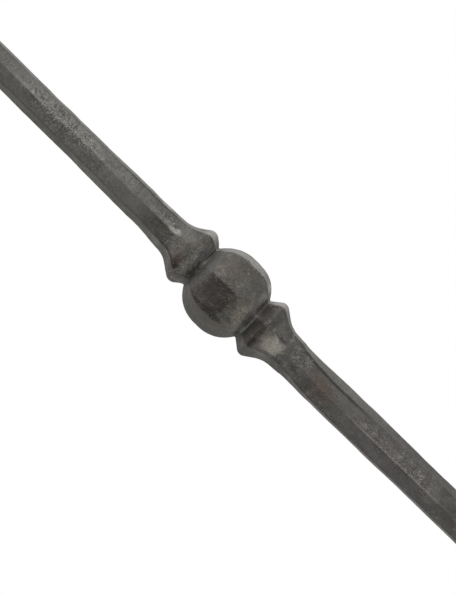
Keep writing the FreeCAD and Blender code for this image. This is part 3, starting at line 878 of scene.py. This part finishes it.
def ironMaterial():
    skin = ironSkin
    material = bpy.data.materials.new("millScaleIron")
    material.use_nodes = True
    desk = NodeDesk(material.node_tree)
    shader = material.node_tree.nodes["Principled BSDF"]
    place = desk.add("ShaderNodeTexCoord").outputs["Object"]
    inMm = desk.vector("SCALE", place, (0, 0, 0))
    inMm.node.inputs["Scale"].default_value = 1 / mm
    noise = {}
    for name, cut in patterns.items():
        where = desk.vector("ADD", inMm, cut["cut"])
        noise[name] = desk.noise(where, cut["size"], cut["layers"], cut["rough"])
    shown = desk.ramp(desk.vector("DOT_PRODUCT", inMm, towardsCamera), *skin["frontEdge"])

    def coat(under, share, tint):
        return desk.blend(share, under, linear(tint))

    # Scale all over: dark and light clouds, soot, thin rust, and painted shade in the grooves
    colour = coat(linear("scale"), desk.ramp(noise["cloud"], *skin["darkClouds"]), "scaleDark")
    colour = coat(colour, desk.ramp(noise["mottle"], *skin["lightMottle"]), "lightScaleAndPaintedLight")
    colour = coat(colour, desk.ramp(noise["mottle"], *skin["sootMottle"]), "sootAndShade")
    rust = desk.ramp(noise["rusty"], *skin["rust"])
    rust = desk.number("MULTIPLY", rust, desk.ramp(shown, *skin["rustInView"]))
    colour = coat(colour, rust, "rust")
    colour = coat(colour, desk.ramp(noise["blot"], *skin["paleBlots"]), "paleGrey")
    groove = desk.number("MULTIPLY", desk.attribute("grooveShade"), skin["grooveShadeStrength"])
    colour = coat(colour, groove, "grimeAndShade")

    # Stains, painted highlights and painted shade where the photo shows them, on its side alone
    shares, spot = drawnStains(desk, inMm, place, noise, shown)
    for share, tint in shares:
        colour = coat(colour, share, tint)

    # Fine grain, dark lines at the corners and wear on the ridges
    colour = coat(colour, desk.ramp(noise["fine"], *skin["darkGrain"]), "grimeAndShade")
    colour = coat(colour, desk.ramp(noise["fine"], *skin["paleGrain"]), "paleGrey")
    lined = desk.ramp(noise["mottle"], *skin["cornerLine"])
    colour = coat(colour, desk.number("MULTIPLY", desk.attribute("cornerLine"), lined), "grimeAndShade")
    worn = desk.ramp(noise["mottle"], *skin["ridgeWear"])
    worn = desk.number("MULTIPLY", desk.attribute("ridgeWear"), worn)
    colour = coat(colour, worn, "paleGrey")

    # Grainy crust in patches, with light and dark flecks, and bare specks over it all
    crust = desk.ramp(noise["crusty"], *skin["crust"])
    crust = desk.number("MULTIPLY", crust, desk.ramp(shown, *skin["crustInView"]))
    for middle, half, strength in grainyPlaces:
        near = nearness(desk, spot, middle, half, strength)
        crust = desk.number("MAXIMUM", crust, desk.number("MULTIPLY", near, shown))
    parts = [desk.number("MULTIPLY", noise[name], part) for name, part in skin["fleckMix"].items()]
    fleck = desk.number("ADD", *parts)
    for flecks, tint in (("lightFlecks", "speckLight"), ("darkFlecks", "grimeAndShade")):
        share = desk.number("MULTIPLY", crust, desk.ramp(fleck, *skin[flecks]))
        colour = coat(colour, share, tint)
    colour = coat(colour, desk.ramp(noise["speck"], *skin["bareSpecks"]), "bareIronAndHighlight")
    material.node_tree.links.new(colour, shader.inputs["Base Color"])

    roughness = desk.ramp(noise["mottle"], *skin["roughness"])
    polish = desk.number("MULTIPLY", worn, skin["wornPolish"])
    roughness = desk.number("SUBTRACT", roughness, polish)
    roughness = desk.number("ADD", roughness, desk.ramp(noise["speck"], *skin["speckRoughness"]))
    material.node_tree.links.new(roughness, shader.inputs["Roughness"])
    shader.inputs["Metallic"].default_value = skin["metallic"]
    shader.inputs["IOR"].default_value = skin["ior"]

    normal = None
    noise["pits"] = desk.number("MULTIPLY", crust, fleck)
    for name, rise in skin["rise"].items():
        values = {"Height": noise[name], "Strength": 1.0, "Distance": rise * mm}
        if normal is not None:
            values["Normal"] = normal
        normal = desk.add("ShaderNodeBump", values).outputs["Normal"]
    material.node_tree.links.new(normal, shader.inputs["Normal"])
    return material


bar.data.materials.append(ironMaterial())
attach(bar, "root")
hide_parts(barNode)
print("iron finished")

# A plain pale floor
floorForm = {"size": 10.0, "colour": (0.8, 0.79, 0.77, 1), "roughness": 0.85}
bpy.ops.mesh.primitive_plane_add(size=floorForm["size"], location=(0, 0, 0))
floor = bpy.context.object
floor.name = "paleFloor"
floorMaterial = bpy.data.materials.new("paleFloor")
floorMaterial.use_nodes = True
floorShader = floorMaterial.node_tree.nodes["Principled BSDF"]
floorShader.inputs["Base Color"].default_value = floorForm["colour"]
floorShader.inputs["Roughness"].default_value = floorForm["roughness"]
floor.data.materials.append(floorMaterial)

# Soft light from all round, weaker from the photo camera's side
studio = {
    "round": (1.0, 0.995, 0.985, 1),
    "front": (0.5, 0.5, 0.495, 1),
    "leftShare": 0.7,
    "backdrop": (1, 1, 1, 1),
    "softboxAngle": math.radians(62),      # to the right of the camera, as the rim light's is
    "softboxRise": math.radians(28),
    "softboxDistance": 2.2,
    "softboxSize": 1.5,
    "softboxPower": 14.0,
    "rimAngle": math.radians(150),
    "rimRise": math.radians(10),
    "rimDistance": 2.0,
    "rimSize": 0.8,
    "rimPower": 1.2,
    "frontFade": (0.0, 1.0),               # where the front light takes over
    "sideFade": (-1.0, 1.0),
}


def lightStudio():
    world = bpy.data.worlds.new("studio")
    bpy.context.scene.world = world
    world.use_nodes = True
    world.node_tree.nodes.clear()
    desk = NodeDesk(world.node_tree)
    direction = desk.add("ShaderNodeTexCoord").outputs["Generated"]
    facing = desk.vector("DOT_PRODUCT", direction, towardsCamera)
    front = desk.ramp(facing, *studio["frontFade"])
    colour = desk.blend(front, studio["round"], studio["front"])
    side = desk.vector("DOT_PRODUCT", direction, acrossView)
    side = desk.ramp(side, *studio["sideFade"], studio["leftShare"], 1.0)
    light = desk.add("ShaderNodeBackground", {"Color": colour, "Strength": side}).outputs[0]
    plain = {"Color": studio["backdrop"], "Strength": 1.0}
    backdrop = desk.add("ShaderNodeBackground", plain).outputs[0]
    seen = desk.add("ShaderNodeLightPath").outputs["Is Camera Ray"]
    both = desk.add("ShaderNodeMixShader", {0: seen, 1: light, 2: backdrop}).outputs[0]
    desk.add("ShaderNodeOutputWorld", {"Surface": both})

    ball = Vector((0, 0, barForm["ballHeight"] * mm))
    for name in ("softbox", "rim"):
        lamp = bpy.data.objects.new(name, bpy.data.lights.new(name, "AREA"))
        bpy.context.collection.objects.link(lamp)
        level, angle = math.cos(studio[name + "Rise"]), studio[name + "Angle"]
        aim = towardsCamera * math.cos(angle) * level + acrossView * math.sin(angle) * level
        aim.z = math.sin(studio[name + "Rise"])
        turn = aim.to_track_quat("Z", "Y").to_matrix().to_4x4()
        lamp.matrix_world = Matrix.Translation(ball + aim * studio[name + "Distance"]) @ turn
        lamp.data.size = studio[name + "Size"]
        lamp.data.energy = studio[name + "Power"]
        lamp.visible_camera = False


def placeCamera():
    # The picture's middle lies beside the ball's, and the frame's long side spans 594 pixels
    p = photo
    right = p["width"] / 2 - p["ballMiddle"][0]
    down = p["height"] / 2 - p["ballMiddle"][1]
    along = right * math.cos(p["lean"]) + down * math.sin(p["lean"])
    across = right * math.sin(p["lean"]) - down * math.cos(p["lean"]) - p["axisOffset"]
    middle = acrossView * across * p["pixel"] * mm
    middle.z = (barForm["ballHeight"] - along * p["pixel"]) * mm
    upBar = Vector((0, 0, 1))
    cameraRight = acrossView * math.sin(p["lean"]) - upBar * math.cos(p["lean"])
    cameraUp = acrossView * math.cos(p["lean"]) + upBar * math.sin(p["lean"])
    turn = Matrix((cameraRight, cameraUp, towardsCamera)).transposed()
    camera = bpy.data.objects.new("camera", bpy.data.cameras.new("camera"))
    bpy.context.collection.objects.link(camera)
    camera.matrix_world = Matrix.Translation(middle + towardsCamera * p["distance"]) @ turn.to_4x4()
    camera.data.sensor_width = p["sensor"]
    camera.data.lens = p["sensor"] * p["distance"] / (p["height"] * p["pixel"] * mm)
    camera.data.clip_end = p["farthest"]
    bpy.context.scene.camera = camera


lightStudio()
placeCamera()
bpy.context.scene.view_settings.view_transform = "Standard"
print("studio and camera placed")
